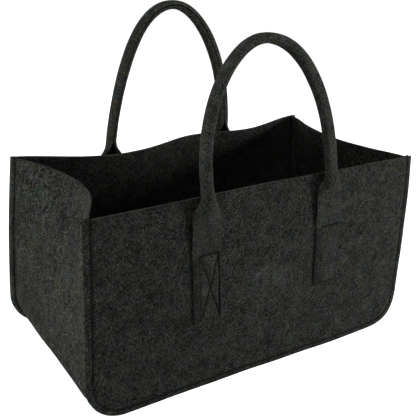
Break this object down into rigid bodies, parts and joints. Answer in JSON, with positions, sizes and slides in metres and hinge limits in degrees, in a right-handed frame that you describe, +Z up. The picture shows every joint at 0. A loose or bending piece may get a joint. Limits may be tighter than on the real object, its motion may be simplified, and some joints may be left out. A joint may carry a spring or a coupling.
{
  "type": "felt log bag",
  "caption": "Open-topped felt carrier for firewood with upright panels, a wrap-round gusset and arched rolled felt handles, standing on its base.",
  "frame": {"origin": "on the floor under the middle of the whole bag's box, handles included", "axes": "+X along the bag to the right, +Y from the front panel to the back panel, +Z up"},
  "size_m": [0.5001, 0.2626, 0.4445],
  "materials": {
    "felt": "matte charcoal needle felt with lighter and darker fibres"
  },
  "bodies": {
    "root": {"front_panel": "felt", "back_panel": "felt", "gusset": "felt", "front_handle": "felt", "back_handle": "felt"}
  },
  "joints": []
}
